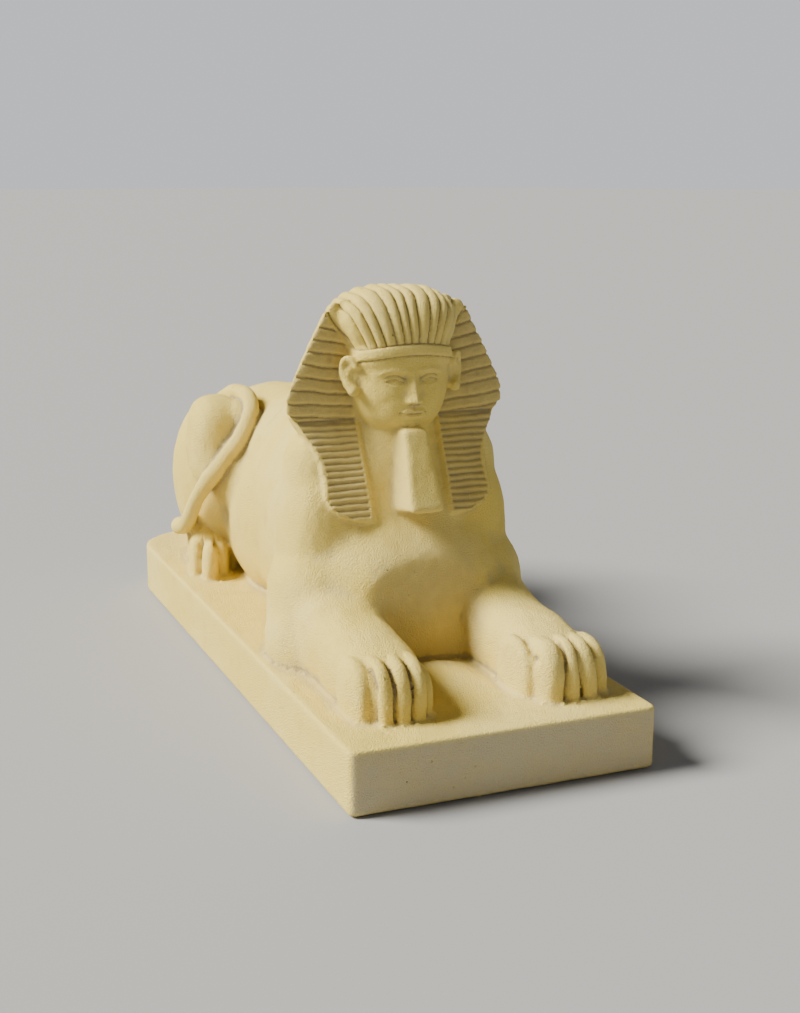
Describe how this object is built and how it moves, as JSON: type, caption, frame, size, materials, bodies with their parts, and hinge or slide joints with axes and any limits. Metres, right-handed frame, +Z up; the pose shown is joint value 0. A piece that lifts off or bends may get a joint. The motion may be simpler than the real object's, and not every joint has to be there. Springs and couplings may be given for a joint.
{
  "type": "sphinx statue",
  "caption": "Recumbent sphinx statuette on a plinth, cast in one piece, with striped headdress, straight beard, ribbed paws and a curled tail.",
  "frame": {"origin": "middle of the bounding box at the underside of the plinth, on the surface that the statue stands on", "axes": "+Z up, the statue faces -Y and its own left side is +X, +Y runs back along the plinth"},
  "size_m": [0.1032, 0.2754, 0.1463],
  "materials": {
    "plaster": "matte cream-yellow cast plaster with fine grain and darker tone in the stripes"
  },
  "bodies": {
    "root": {"sphinx_statue": "plaster"}
  },
  "joints": []
}
